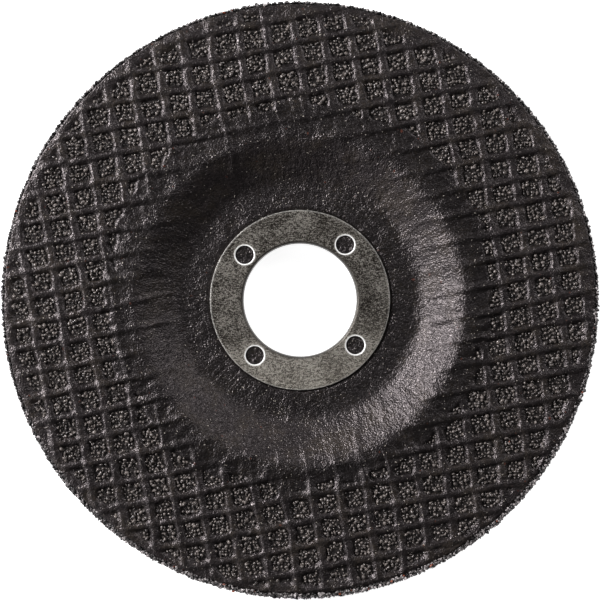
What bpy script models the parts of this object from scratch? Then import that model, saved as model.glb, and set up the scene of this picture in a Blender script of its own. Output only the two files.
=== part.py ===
"""Depressed-centre grinding disc with a pressed steel centre ring.

Metres, +Z up. The origin is on the disc's axis, in the plane of the hub's back face, so that the
disc lies on its hub with the dished grinding face up.
"""

import math

import bmesh
import bpy
from mathutils import Matrix, Vector

# The moulded disc
DISC_DIAMETER = 0.115
DISC_THICKNESS = 0.006
DISH_DEPTH = 0.0046
DISH_FLOOR_WIDTH = 0.0058
DISH_SLOPE_WIDTH = 0.0076
DISH_FLOOR_BEND = 0.0065
DISH_MOUTH_BEND = 0.009
SMALLEST_BEND = 0.001

# The rim, where the net stops short of the abrasive
SKIN_SETBACK = 0.0009
SKIN_THICKNESS = 0.00045

# The steel centre ring
BORE_DIAMETER = 0.02223
RING_SHEET = 0.0008
RING_PROUD = 0.0004
RING_EDGE_ROUND = 0.00025
RING_LIP_ROUND = 0.0007
COLLAR_SHORT_OF_BACK = 0.0005
RING_HOLE_DIAMETER = 0.00366
RING_HOLE_CHAMFER = 0.00028
WEB_INSIDE_HOLES = 0.000135
WEB_OUTSIDE_HOLES = 0.00179
RING_HOLE_COUNT = 4
RING_HOLE_ANGLE = math.radians(50.8)
SEAT_CLEARANCE = 0.0003
PEG_BELOW_FACE = 0.00025
PEG_ROOT = 0.001
CUT_OVERSHOOT = 0.0008

# The glass-fibre net that shows as ridges on both faces
WARP_PITCH = 0.00528
WEFT_PITCH = 0.00476
WARP_THREAD = 0.0018
WEFT_THREAD = 0.0016
WARP_SHIFT = -0.00051
WEFT_SHIFT = -0.00178
ACROSS_WARP = math.radians(9.0)
ACROSS_WEFT = math.radians(100.8)
BACK_NET_TURN = math.radians(31.0)
NET_DISH_MARGIN = 0.0068
NET_RIM_MARGIN = 0.0016
OPENING_DEPTH = 0.00035
OPENING_FLOOR_SHARE = 0.86
LEAST_OPENING_SHARE = 0.22

# Facets
DISC_SEGMENTS = 80
RING_SEGMENTS = 64
HOLE_SEGMENTS = 20
BEND_STEPS = 3
EDGE_STEPS = 2
FLAT_ANGLE = math.radians(0.5)
SHARP_ANGLE = math.radians(32.0)
MERGE_DISTANCE = 0.000001

# Levels that follow from the sizes above
HUB_BACK = 0.0
HUB_FRONT = HUB_BACK + DISC_THICKNESS
RIM_BACK = HUB_BACK + DISH_DEPTH
RIM_FRONT = RIM_BACK + DISC_THICKNESS
RING_FACE = HUB_FRONT + RING_PROUD
RING_UNDERSIDE = RING_FACE - RING_SHEET
SEAT_FLOOR = RING_UNDERSIDE - SEAT_CLEARANCE
COLLAR_END = HUB_BACK + COLLAR_SHORT_OF_BACK

# Radii that follow from the sizes above
BORE_RADIUS = BORE_DIAMETER / 2
COLLAR_RADIUS = BORE_RADIUS + RING_SHEET
RING_HOLE_RADIUS = RING_HOLE_DIAMETER / 2
RING_HOLE_CIRCLE_RADIUS = COLLAR_RADIUS + WEB_INSIDE_HOLES + RING_HOLE_RADIUS
RING_RADIUS = RING_HOLE_CIRCLE_RADIUS + RING_HOLE_RADIUS + WEB_OUTSIDE_HOLES
PEG_RADIUS = RING_HOLE_RADIUS - SEAT_CLEARANCE
DISC_HOLE_RADIUS = COLLAR_RADIUS + SEAT_CLEARANCE
SEAT_RADIUS = RING_RADIUS + SEAT_CLEARANCE
DISH_FLOOR_RADIUS = SEAT_RADIUS + DISH_FLOOR_WIDTH
DISH_MOUTH_RADIUS = DISH_FLOOR_RADIUS + DISH_SLOPE_WIDTH
DISC_RADIUS = DISC_DIAMETER / 2
SKIN_RADIUS = DISC_RADIUS - SKIN_SETBACK
NET_INNER_RADIUS = DISH_MOUTH_RADIUS + NET_DISH_MARGIN
NET_OUTER_RADIUS = SKIN_RADIUS - NET_RIM_MARGIN

ABRASIVE_COLOUR = (0.032, 0.030, 0.029, 1.0)
STEEL_COLOUR = (0.42, 0.41, 0.38, 1.0)


def clear_scene():
    for obj in list(bpy.data.objects):
        bpy.data.objects.remove(obj)


def new_collection(name, drawn=True):
    collection = bpy.data.collections.new(name)
    collection.hide_render = not drawn
    bpy.context.scene.collection.children.link(collection)
    return collection


def new_material(name, colour, roughness, metallic):
    material = bpy.data.materials.new(name)
    material.use_nodes = True
    shader = material.node_tree.nodes["Principled BSDF"]
    shader.inputs["Base Color"].default_value = colour
    shader.inputs["Roughness"].default_value = roughness
    shader.inputs["Metallic"].default_value = metallic
    return material


def new_object(name, mesh, collection):
    obj = bpy.data.objects.new(name, mesh)
    collection.objects.link(obj)
    return obj


def new_cutter(name, mesh, cutters):
    obj = new_object(name, mesh, cutters)
    obj.hide_render = True
    obj.display_type = "WIRE"
    return obj


def rounded_corner(before, corner, after, radius, steps):
    """Points of an arc that rounds one corner of an outline, at most half a side long."""
    back = (before - corner).normalized()
    ahead = (after - corner).normalized()
    half_angle = back.angle(ahead) / 2
    room = min((before - corner).length, (after - corner).length) / 2
    reach = min(radius / math.tan(half_angle), room)
    radius = reach * math.tan(half_angle)
    centre = corner + (back + ahead).normalized() * (radius / math.sin(half_angle))
    start = corner + back * reach - centre
    sweep = math.pi - 2 * half_angle
    turn = math.copysign(sweep, back.x * ahead.y - back.y * ahead.x)
    return [
        centre + Matrix.Rotation(-turn * step / steps, 2) @ start
        for step in range(steps + 1)
    ]


def rounded_outline(corners):
    """A closed outline from (radius, height, rounding, steps) corners."""
    points = [Vector((r, z)) for r, z, _, _ in corners]
    outline = []
    for index, (_, _, rounding, steps) in enumerate(corners):
        if rounding:
            before = points[index - 1]
            after = points[(index + 1) % len(points)]
            outline += rounded_corner(before, points[index], after, rounding, steps)
        else:
            outline.append(points[index])
    return outline


def turned_mesh(name, outline):
    """The half section of a turned shape: a closed loop of edges in the XZ plane."""
    mesh = bpy.data.meshes.new(name)
    points = [(point.x, 0.0, point.y) for point in outline]
    edges = [(i, (i + 1) % len(points)) for i in range(len(points))]
    mesh.from_pydata(points, edges, [])
    return mesh


def turn(obj, segments):
    """Turns an object's half section round Z, and merges the strips of each flat face."""
    screw = obj.modifiers.new("turned", "SCREW")
    screw.axis = "Z"
    screw.steps = segments
    screw.render_steps = segments
    screw.use_merge_vertices = True
    screw.merge_threshold = MERGE_DISTANCE
    flats = obj.modifiers.new("flat faces", "DECIMATE")
    flats.decimate_type = "DISSOLVE"
    flats.angle_limit = FLAT_ANGLE
    return obj


def combine(obj, operation, other):
    boolean = obj.modifiers.new(f"{operation.lower()} {other.name}", "BOOLEAN")
    boolean.operation = operation
    boolean.solver = "EXACT"
    boolean.object = other


def finish(obj, material):
    """Keeps an object's evaluated shape, with round faces smooth and edges sharp."""
    evaluated = obj.evaluated_get(bpy.context.evaluated_depsgraph_get())
    mesh = bpy.data.meshes.new_from_object(evaluated)
    obj.modifiers.clear()
    obj.data = mesh
    mesh.name = obj.name
    mesh.materials.clear()
    mesh.materials.append(material)
    mesh.shade_smooth()
    mesh.set_sharp_from_angle(angle=SHARP_ANGLE)


def disc_outline():
    """Half section of the moulded disc, front face first. Its wall is as thick in the dish's
    slope as at the rim, so the back's corners lie further out by the miter of the bend."""
    slope = math.atan2(DISH_DEPTH, DISH_SLOPE_WIDTH)
    miter = DISC_THICKNESS * math.tan(slope / 2)
    back_mouth_bend = max(DISH_MOUTH_BEND - DISC_THICKNESS, SMALLEST_BEND)
    back_floor_bend = DISH_FLOOR_BEND + DISC_THICKNESS
    return rounded_outline(
        [
            (DISC_HOLE_RADIUS, SEAT_FLOOR, 0, 0),
            (SEAT_RADIUS, SEAT_FLOOR, 0, 0),
            (SEAT_RADIUS, HUB_FRONT, 0, 0),
            (DISH_FLOOR_RADIUS, HUB_FRONT, DISH_FLOOR_BEND, BEND_STEPS),
            (DISH_MOUTH_RADIUS, RIM_FRONT, DISH_MOUTH_BEND, BEND_STEPS),
            (SKIN_RADIUS, RIM_FRONT, 0, 0),
            (SKIN_RADIUS, RIM_FRONT - SKIN_THICKNESS, 0, 0),
            (DISC_RADIUS, RIM_FRONT - SKIN_THICKNESS, 0, 0),
            (DISC_RADIUS, RIM_BACK + SKIN_THICKNESS, 0, 0),
            (SKIN_RADIUS, RIM_BACK + SKIN_THICKNESS, 0, 0),
            (SKIN_RADIUS, RIM_BACK, 0, 0),
            (DISH_MOUTH_RADIUS + miter, RIM_BACK, back_mouth_bend, BEND_STEPS),
            (DISH_FLOOR_RADIUS + miter, HUB_BACK, back_floor_bend, BEND_STEPS),
            (DISC_HOLE_RADIUS, HUB_BACK, 0, 0),
        ]
    )


def ring_outline():
    """Half section of the centre ring: a flat flange that turns down into a collar."""
    return rounded_outline(
        [
            (BORE_RADIUS, RING_FACE, RING_LIP_ROUND, BEND_STEPS),
            (RING_RADIUS, RING_FACE, RING_EDGE_ROUND, EDGE_STEPS),
            (RING_RADIUS, RING_UNDERSIDE, 0, 0),
            (COLLAR_RADIUS, RING_UNDERSIDE, 0, 0),
            (COLLAR_RADIUS, COLLAR_END, 0, 0),
            (BORE_RADIUS, COLLAR_END, 0, 0),
        ]
    )


def ring_hole_places():
    """Where the ring's holes stand, on their circle."""
    for index in range(RING_HOLE_COUNT):
        angle = RING_HOLE_ANGLE + index * math.tau / RING_HOLE_COUNT
        yield Matrix.Rotation(angle, 3, "Z") @ Vector((RING_HOLE_CIRCLE_RADIUS, 0.0, 0.0))


def stand(bm, place, low, high, radius_low, radius_high):
    """Adds an upright round bar or cone, from one height to another, to a bmesh."""
    middle = Vector((place.x, place.y, (low + high) / 2))
    bmesh.ops.create_cone(
        bm,
        cap_ends=True,
        segments=HOLE_SEGMENTS,
        radius1=radius_low,
        radius2=radius_high,
        depth=high - low,
        matrix=Matrix.Translation(middle),
    )


def bars(name, cutters, low, high, radius_low, radius_high):
    """One bar at each of the ring's holes."""
    bm = bmesh.new()
    for place in ring_hole_places():
        stand(bm, place, low, high, radius_low, radius_high)
    mesh = bpy.data.meshes.new(name)
    bm.to_mesh(mesh)
    bm.free()
    return new_cutter(name, mesh, cutters)


def net_plane():
    """Turns distances across the warp and across the weft into a place on the face."""
    across_warp = Vector((math.cos(ACROSS_WARP), math.sin(ACROSS_WARP)))
    across_weft = Vector((math.cos(ACROSS_WEFT), math.sin(ACROSS_WEFT)))
    return Matrix((across_warp, across_weft)).inverted()


def net_openings():
    """Middles of the net's openings that lie well inside the band where the net shows."""
    plane = net_plane()
    margin = LEAST_OPENING_SHARE * min(WARP_PITCH, WEFT_PITCH)
    reach = math.ceil(DISC_DIAMETER / min(WARP_PITCH, WEFT_PITCH))
    for i in range(-reach, reach + 1):
        for j in range(-reach, reach + 1):
            across = Vector((WARP_SHIFT + i * WARP_PITCH, WEFT_SHIFT + j * WEFT_PITCH))
            middle = plane @ across
            if NET_INNER_RADIUS + margin < middle.length < NET_OUTER_RADIUS - margin:
                yield middle


def opening_blocks(name, cutters, face, inward, turn_angle):
    """Tapered blocks that cut the net's openings into a face. Inward is -1 where the face
    looks up and 1 where it looks down."""
    opening = Vector((WARP_PITCH - WARP_THREAD, WEFT_PITCH - WEFT_THREAD))
    plane = net_plane()
    shear = plane.to_3x3().to_4x4() @ Matrix.Diagonal((opening.x, opening.y, 1.0, 1.0))
    square = Matrix.Rotation(math.radians(45.0), 4, "Z")
    half_diagonal = math.sqrt(0.5)
    floor_size = half_diagonal * OPENING_FLOOR_SHARE
    lid_size = half_diagonal * (2 - OPENING_FLOOR_SHARE)
    about_axis = Matrix.Rotation(turn_angle, 4, "Z")
    bm = bmesh.new()
    for middle in net_openings():
        place = Matrix.Translation((middle.x, middle.y, face))
        bmesh.ops.create_cone(
            bm,
            cap_ends=True,
            segments=4,
            radius1=floor_size if inward < 0 else lid_size,
            radius2=lid_size if inward < 0 else floor_size,
            depth=2 * OPENING_DEPTH,
            matrix=about_axis @ place @ shear @ square,
        )
    mesh = bpy.data.meshes.new(name)
    bm.to_mesh(mesh)
    bm.free()
    return new_cutter(name, mesh, cutters)


def net_band(name, cutters, face):
    """The ring-shaped band of a face in which the net's openings show."""
    low = face - 2 * OPENING_DEPTH
    high = face + 2 * OPENING_DEPTH
    outline = rounded_outline(
        [
            (NET_INNER_RADIUS, high, 0, 0),
            (NET_OUTER_RADIUS, high, 0, 0),
            (NET_OUTER_RADIUS, low, 0, 0),
            (NET_INNER_RADIUS, low, 0, 0),
        ]
    )
    band = new_cutter(name, turned_mesh(name, outline), cutters)
    return turn(band, DISC_SEGMENTS)


def net_cutter(side, cutters, face, inward, turn_angle):
    openings = opening_blocks(f"{side}_net_openings", cutters, face, inward, turn_angle)
    combine(openings, "INTERSECT", net_band(f"{side}_net_band", cutters, face))
    return openings


def abrasive_disc(parts, cutters):
    """The moulded body, with the net's ridges on both faces and a resin peg at each ring hole."""
    disc = new_object("abrasive_disc", turned_mesh("abrasive_disc", disc_outline()), parts)
    turn(disc, DISC_SEGMENTS)
    front_net = net_cutter("front", cutters, RIM_FRONT, -1, 0.0)
    back_net = net_cutter("back", cutters, RIM_BACK, 1, BACK_NET_TURN)
    combine(disc, "DIFFERENCE", front_net)
    combine(disc, "DIFFERENCE", back_net)
    peg_foot = SEAT_FLOOR - PEG_ROOT
    peg_top = RING_FACE - PEG_BELOW_FACE
    pegs = bars("resin_pegs", cutters, peg_foot, peg_top, PEG_RADIUS, PEG_RADIUS)
    combine(disc, "UNION", pegs)
    return disc


def centre_ring(parts, cutters):
    """The pressed steel ring that lines the bore, with its four chamfered holes."""
    ring = new_object("centre_ring", turned_mesh("centre_ring", ring_outline()), parts)
    turn(ring, RING_SEGMENTS)
    low = RING_UNDERSIDE - CUT_OVERSHOOT
    high = RING_FACE + CUT_OVERSHOOT
    holes = bars("ring_holes", cutters, low, high, RING_HOLE_RADIUS, RING_HOLE_RADIUS)
    combine(ring, "DIFFERENCE", holes)
    foot = RING_FACE - RING_HOLE_CHAMFER
    mouth_radius = RING_HOLE_RADIUS + high - foot
    chamfers = bars("ring_hole_chamfers", cutters, foot, high, RING_HOLE_RADIUS, mouth_radius)
    combine(ring, "DIFFERENCE", chamfers)
    return ring


def main():
    clear_scene()
    parts = new_collection("grinding_disc")
    cutters = new_collection("cutters", drawn=False)
    bonded_abrasive = new_material("bonded_abrasive", ABRASIVE_COLOUR, 0.75, 0.0)
    zinc_plated_steel = new_material("zinc_plated_steel", STEEL_COLOUR, 0.42, 1.0)
    disc = abrasive_disc(parts, cutters)
    ring = centre_ring(parts, cutters)
    finish(disc, bonded_abrasive)
    finish(ring, zinc_plated_steel)


main()
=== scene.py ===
"""The looks of a depressed-centre grinding disc: glass net under resin, grit and a pressed ring.

Metres, +Z up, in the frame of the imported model. Each piece's place is in its mesh.
"""

import math

import bmesh
import bpy
import numpy as np
from mathutils import Euler, Matrix, Vector


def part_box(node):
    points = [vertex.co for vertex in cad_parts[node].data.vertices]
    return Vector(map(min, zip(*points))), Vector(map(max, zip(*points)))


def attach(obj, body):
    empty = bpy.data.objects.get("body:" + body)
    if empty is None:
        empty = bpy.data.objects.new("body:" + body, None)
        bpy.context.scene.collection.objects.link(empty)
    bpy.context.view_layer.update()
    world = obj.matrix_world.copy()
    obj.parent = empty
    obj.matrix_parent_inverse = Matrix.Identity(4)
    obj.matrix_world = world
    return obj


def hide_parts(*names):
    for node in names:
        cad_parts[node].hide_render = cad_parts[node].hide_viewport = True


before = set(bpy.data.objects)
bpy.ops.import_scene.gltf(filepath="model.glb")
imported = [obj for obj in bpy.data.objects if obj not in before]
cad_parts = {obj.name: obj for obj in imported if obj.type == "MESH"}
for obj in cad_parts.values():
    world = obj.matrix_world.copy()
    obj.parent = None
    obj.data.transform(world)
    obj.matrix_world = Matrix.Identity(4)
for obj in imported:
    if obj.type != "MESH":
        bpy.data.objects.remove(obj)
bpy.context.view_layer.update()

MM = 0.001

# Levels and radii that the frame gives
DISC_LOW, DISC_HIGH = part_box("abrasive_disc")
RING_LOW, RING_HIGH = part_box("centre_ring")
DISC_RADIUS = DISC_HIGH.x
RIM_FRONT = DISC_HIGH.z
HUB_BACK = DISC_LOW.z
RING_RADIUS = RING_HIGH.x
RING_FACE = RING_HIGH.z
COLLAR_END = RING_LOW.z

# The moulded body's section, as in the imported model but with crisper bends
DISC_THICKNESS = 6.0 * MM
RING_PROUD = 0.4 * MM
RING_SHEET = 0.8 * MM
BORE_RADIUS = 11.115 * MM
HUB_FRONT = RING_FACE - RING_PROUD
RIM_BACK = RIM_FRONT - DISC_THICKNESS
DISH_FLOOR_RADIUS = 23.6 * MM
DISH_MOUTH_RADIUS = 31.2 * MM
DISH_FLOOR_BEND = 4.5 * MM
DISH_MOUTH_BEND = 5.0 * MM
BACK_FLOOR_BEND = 12.0 * MM
BACK_MOUTH_BEND = 3.0 * MM
BEND_STEPS = 6
SECTORS = 20
MERGE_DISTANCE = 0.001 * MM
BODY_INSET = 0.6 * MM
SEAT_GAP = 0.3 * MM

# The net and its resin, which show as the skin of both faces
SKIN_EDGE_RADIUS = 56.55 * MM
SKIN_EDGE_BARE = 0.5 * MM
SKIN_EDGE_REACH = 0.9 * MM
SKIN_EDGE_WANDER = 0.14 * MM
SKIN_EDGE_ROUND = 0.22 * MM
SKIN_DEPTH = 0.95 * MM
SKIN_SETTLE = 0.08 * MM
FRONT_SKIN_INNER = RING_RADIUS + 0.06 * MM
BACK_SKIN_INNER = 12.25 * MM
FRONT_STEPS = 480
BACK_STEPS = 400
FRONT_BAND_PITCH = 0.61 * MM
BACK_BAND_PITCH = 0.68 * MM
DISH_PITCH = 0.85 * MM
HIDDEN_PITCH = 5.0 * MM
BAND_FROM = 34.2 * MM

# The two outer glass nets
WARP_PITCH = 5.28 * MM
WEFT_PITCH = 4.76 * MM
WARP_SHIFT = -0.87 * MM
WEFT_SHIFT = -1.67 * MM
ACROSS_WARP = math.radians(9.0)
ACROSS_WEFT = math.radians(100.8)
BACK_NET_TURN = math.radians(31.0)
NET_SKEW = 0.27
NET_SAG = 0.15
STRAY_PATCH = 9.0 * MM
STRAY_ALONG = 5.0 * MM
STRAY_STRETCH = 9.0
STRAY_WIGGLE = 3.2 * MM
WARP_THREAD = 1.75 * MM
WEFT_THREAD = 1.45 * MM
OPENING_ROUND = 0.6 * MM
OPENING_DEPTH = 0.72 * MM
OPENING_BANK = 0.42 * MM
OPENING_FRAY = 0.2 * MM
OPENING_LUCK = 0.22 * MM
NET_FROM = 36.9 * MM
NET_OFFSET = 0.8 * MM
NET_OFFSET_MIDDLE = math.radians(100.0)
NET_FADE = 0.6 * MM
NET_TO = 55.4 * MM
NET_RIM_FADE = 1.8 * MM
NET_LUCK = 1.5 * MM
NET_FRAY = 0.5 * MM
THREADS_FROM = DISH_FLOOR_RADIUS + 2.0 * MM
THREADS_FADE = 10.0 * MM
THREADS_RIM_FADE = 1.2 * MM
WEFT_CROWN = 0.2 * MM
WEAVE_LIFT = 0.05 * MM
GROOVE_DEPTH = 0.14 * MM
GROOVE_WIDTH = 0.24 * MM
WARP_STEP = 0.27 * MM
STEP_WIDTH = 0.7 * MM
STEP_FROM = 32.5 * MM
STEP_FADE = 6.0 * MM
STEP_SOFT_MIDDLE = math.radians(40.0)
LUMP_HEIGHT = 0.1 * MM
LUMP_SIZE = 2.1 * MM
FINE_LUMP_HEIGHT = 0.06 * MM
FINE_LUMP_SIZE = 0.85 * MM

# Pleats where the net was pressed into the dish, running outward from the axis. Their count is no
# multiple of 64, so that a pleat ends in a small step where the turn closes, at -X.
PLEAT_RADIUS = 35.0 * MM
PLEAT_REACH = 5.0 * MM
PLEAT_HEIGHT = 0.27 * MM
PLEAT_COUNT = 130
PLEAT_MIDDLE = math.radians(-70.0)

# Creases over single threads, which run on from the net across the dish's slope
CREASE_HEIGHT = 0.26 * MM
CREASE_WIDTH = 0.4 * MM
CREASE_RADIUS = 30.5 * MM
CREASE_REACH = 6.5 * MM
CREASE_WANDER = 0.5 * MM

# Grit in the net's openings and on the rim
GRAIN_PITCH = 0.59 * MM
GRAIN_RADIUS = 0.31 * MM
GRAIN_SINK = 0.2 * MM
RIM_GRAIN_PITCH = 0.5 * MM
RIM_GRAIN_RADIUS = 0.3 * MM
RIM_GRAIN_MARGIN = 0.35 * MM
RIM_WALL_RADIUS = 57.1 * MM

# The side of the rim where the front skin stops early and grit lies bare, its grit painted paler there as
# painted light
RIM_BARE_LIT_MIDDLE = math.radians(280.0)
RIM_BARE_REACH = 0.75 * MM
RIM_BARE_ROWS = 3

# The four resin-filled holes in the ring
HOLE_COUNT = 4
HOLE_RADIUS = 1.78 * MM
HOLE_FLARE = 0.1 * MM
HOLE_CIRCLE = 13.88 * MM
HOLE_ANGLE = math.radians(50.8)
PEG_TOP = RING_FACE - 0.3 * MM
PEG_FOOT = HUB_FRONT - 1.2 * MM
PEG_PLAY = 0.03 * MM
PEG_LUMPS = 0.09 * MM
LEVEL_TOLERANCE = 0.01 * MM

# The distance from the axis at which the resin's ramps over the radius end
RAMP_RADIUS = 60.0 * MM

# The camera, from the photograph's perspective
CAMERA_DISTANCE = 323.0 * MM
CAMERA_LENS_MM = 101.1

# The lamps: name, azimuth and elevation in degrees, distance and sides in metres, watts
LAMPS = (
    ("key_lamp", 157, 29, 0.75, (0.29, 0.25), 13.4),
    ("fill_lamp", 38, 32, 1.0, (0.5, 0.5), 4.2),
    ("side_lamp", 215, 30, 0.6, (0.3, 0.3), 0.65),
)
WORLD_LEVEL = 0.075
FLOOR_GLOW = 0.9


def smooth_step(value):
    value = np.clip(value, 0.0, 1.0)
    return value * value * (3 - 2 * value)


def smooth_noise(x, y, size, seed):
    """Random heights from -1 to 1 that change smoothly over about one size."""
    table = np.random.default_rng(seed).uniform(-1, 1, (64, 64))
    column, across = np.divmod(x / size, 1.0)
    row, along = np.divmod(y / size, 1.0)
    column = column.astype(int) % 64
    row = row.astype(int) % 64
    across = smooth_step(across)
    along = smooth_step(along)
    below = table[column, row] * (1 - across) + table[(column + 1) % 64, row] * across
    above_row = (row + 1) % 64
    above = table[column, above_row] * (1 - across) + table[(column + 1) % 64, above_row] * across
    return below * (1 - along) + above * along


def around_noise(angle, radius, count, length, seed):
    """Smooth noise with so many steps round the axis, stretched outward.

    It joins up where the turn closes only if the count is a multiple of 64.
    """
    return smooth_noise(angle / math.tau * count, radius / length, 1.0, seed)


class Net:
    """One of the disc's two outer glass nets: where its threads and openings lie."""

    def __init__(self, turn, seed, depth):
        self.turn = turn
        self.seed = seed
        self.depth = depth

    def across(self, x, y):
        """Distances across the warp and across the weft, with the threads' own wander."""
        c, s = math.cos(self.turn), math.sin(self.turn)
        x, y = c * x + s * y, c * y - s * x
        u = x * math.cos(ACROSS_WARP) + y * math.sin(ACROSS_WARP) - NET_SKEW * x * y
        v = x * math.cos(ACROSS_WEFT) + y * math.sin(ACROSS_WEFT) - NET_SAG * y * y
        u_stray = 0.28 * smooth_noise(u, v, STRAY_PATCH, self.seed)
        u_stray += 0.16 * smooth_noise(u, v / STRAY_STRETCH, STRAY_ALONG, self.seed + 1)
        u_stray += 0.1 * smooth_noise(u, v, STRAY_WIGGLE, self.seed + 21)
        v_stray = 0.26 * smooth_noise(u, v, STRAY_PATCH, self.seed + 2)
        v_stray += 0.15 * smooth_noise(u / STRAY_STRETCH, v, STRAY_ALONG, self.seed + 3)
        v_stray += 0.1 * smooth_noise(u, v, STRAY_WIGGLE, self.seed + 22)
        return u + u_stray * MM, v + v_stray * MM

    def cells(self, x, y):
        """Places within the nearest opening, and that opening's two numbers."""
        u, v = self.across(x, y)
        i = np.round((u - WARP_SHIFT) / WARP_PITCH)
        j = np.round((v - WEFT_SHIFT) / WEFT_PITCH)
        return u - WARP_SHIFT - i * WARP_PITCH, v - WEFT_SHIFT - j * WEFT_PITCH, i, j

    def open_share(self, x, y, i, j):
        """How open the net is at a place: 1 in the middle of its band, 0 in the dish."""
        radius = np.hypot(x, y)
        luck = NET_LUCK * smooth_noise(i * 1.37, j * 1.91, 1.0, self.seed + 4)
        frayed = NET_FRAY * smooth_noise(x, y, 1.6 * MM, self.seed + 19)
        start = NET_FROM + NET_OFFSET * np.cos(np.arctan2(y, x) - NET_OFFSET_MIDDLE - self.turn)
        inner = smooth_step((radius + luck + frayed - start) / NET_FADE)
        outer = smooth_step((NET_TO + luck / 2 - radius) / NET_RIM_FADE)
        return inner * outer

    def inside(self, x, y):
        """How far inside an opening a place lies (negative outside), and how open it is."""
        du, dv, i, j = self.cells(x, y)
        half_u = (WARP_PITCH - WARP_THREAD) / 2
        half_v = (WEFT_PITCH - WEFT_THREAD) / 2
        fray = OPENING_FRAY * smooth_noise(x, y, 0.8 * MM, self.seed + 5)
        fray -= OPENING_LUCK * np.clip(smooth_noise(i * 1.73, j * 1.29, 1.0, self.seed + 20), 0, 1)
        past_u = np.abs(du) - half_u + OPENING_ROUND
        past_v = np.abs(dv) - half_v + OPENING_ROUND
        corner = np.hypot(np.maximum(past_u, 0), np.maximum(past_v, 0))
        distance = corner + np.minimum(np.maximum(past_u, past_v), 0) - OPENING_ROUND
        return fray - distance, self.open_share(x, y, i, j)

    def height(self, x, y):
        """The skin's relief over its plain face: threads up, openings down, pleats at the dish."""
        du, dv, i, j = self.cells(x, y)
        depth, share = self.inside(x, y)
        radius = np.hypot(x, y)
        band = smooth_step((radius - THREADS_FROM) / THREADS_FADE)
        band *= smooth_step((SKIN_EDGE_RADIUS - radius) / THREADS_RIM_FADE)
        well = self.depth * share * smooth_step(0.5 + depth / OPENING_BANK)
        warp = WARP_PITCH / 2 - np.abs(du)
        weft = WEFT_PITCH / 2 - np.abs(dv)
        over = np.where((i + j) % 2 == 0, 1.0, -1.0) * np.sign(du)
        weave = WEAVE_LIFT * over * smooth_step(1 - warp / WARP_THREAD)
        weft_crown = (WEFT_CROWN + weave) * np.sqrt(np.clip(1 - (weft / (0.55 * WEFT_THREAD)) ** 2, 0, 1))
        past = np.mod(du - (WARP_PITCH - WARP_THREAD) / 2 + 0.1 * MM, WARP_PITCH)
        step = smooth_step(past / STEP_WIDTH) * (1 - smooth_step((past - STEP_WIDTH) / WARP_THREAD))
        sharp = 0.64 + 0.55 * smooth_noise(x, y, 3.0 * MM, self.seed + 15)
        sharp -= 0.22 * np.cos(np.arctan2(y, x) - STEP_SOFT_MIDDLE - self.turn)
        step *= WARP_STEP * np.clip(sharp, 0.1, 1.2) * smooth_step((radius - STEP_FROM) / STEP_FADE)
        below = dv - (WEFT_PITCH - WEFT_THREAD) / 2
        groove = GROOVE_DEPTH * np.exp(-((below / GROOVE_WIDTH) ** 2))
        groove *= 0.6 + 0.4 * smooth_noise(x, y, 3.5 * MM, self.seed + 6)
        lumps = LUMP_HEIGHT * smooth_noise(x, y, LUMP_SIZE, self.seed + 7)
        lumps += FINE_LUMP_HEIGHT * smooth_noise(x, y, FINE_LUMP_SIZE, self.seed + 8)
        threads = np.maximum(step, weft_crown) + 0.35 * np.minimum(step, weft_crown) - groove
        return band * threads - well + lumps + self.pleats(x, y) + self.creases(x, y, du, dv)

    def pleats(self, x, y):
        """Short ridges that run outward where the net bends into the dish."""
        radius = np.hypot(x, y)
        angle = np.arctan2(y, x)
        near = np.exp(-(((radius - PLEAT_RADIUS) / PLEAT_REACH) ** 2))
        strong = 0.62 + 0.38 * np.cos(angle - PLEAT_MIDDLE - self.turn)
        ridges = around_noise(angle, radius, PLEAT_COUNT, 4.2 * MM, self.seed + 12)
        ridges += 0.5 * around_noise(angle, radius, 2 * PLEAT_COUNT, 2.6 * MM, self.seed + 13)
        patchy = 0.55 + 0.45 * smooth_noise(x, y, 6 * MM, self.seed + 14)
        return PLEAT_HEIGHT * near * strong * patchy * ridges

    def creases(self, x, y, du, dv):
        """Thin wavy folds along the threads that run outward across the slope."""
        radius = np.hypot(x, y)
        angle = np.arctan2(y, x)
        near = np.exp(-(((radius - CREASE_RADIUS) / CREASE_REACH) ** 4))
        u_wander, v_wander = (
            CREASE_WANDER * smooth_noise(x, y, 3.4 * MM, self.seed + k) for k in (16, 17)
        )
        from_warp = du - np.sign(du) * WARP_PITCH / 2 + u_wander
        from_weft = dv - np.sign(dv) * WEFT_PITCH / 2 + v_wander
        along_warp = np.exp(-((from_warp / CREASE_WIDTH) ** 2))
        along_warp *= np.sin(angle - ACROSS_WARP - self.turn) ** 2
        along_weft = np.exp(-((from_weft / CREASE_WIDTH) ** 2))
        along_weft *= np.sin(angle - ACROSS_WEFT - self.turn) ** 2
        patchy = np.clip(0.5 + 0.9 * smooth_noise(x, y, 4.5 * MM, self.seed + 18), 0, 1)
        return CREASE_HEIGHT * near * patchy * np.maximum(along_warp, along_weft)


FRONT_NET = Net(0.0, 11, OPENING_DEPTH)
BACK_NET = Net(BACK_NET_TURN, 47, 0.8 * OPENING_DEPTH)


def bend(before, corner, after, radius):
    """The points of an arc that rounds one corner of a section."""
    back = (before - corner).normalized()
    ahead = (after - corner).normalized()
    half_angle = back.angle(ahead) / 2
    reach = radius / math.tan(half_angle)
    centre = corner + (back + ahead).normalized() * (radius / math.sin(half_angle))
    start = corner + back * reach - centre
    turn = math.copysign(math.pi - 2 * half_angle, back.x * ahead.y - back.y * ahead.x)
    return [centre + Matrix.Rotation(-turn * k / BEND_STEPS, 2) @ start for k in range(BEND_STEPS + 1)]


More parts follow.
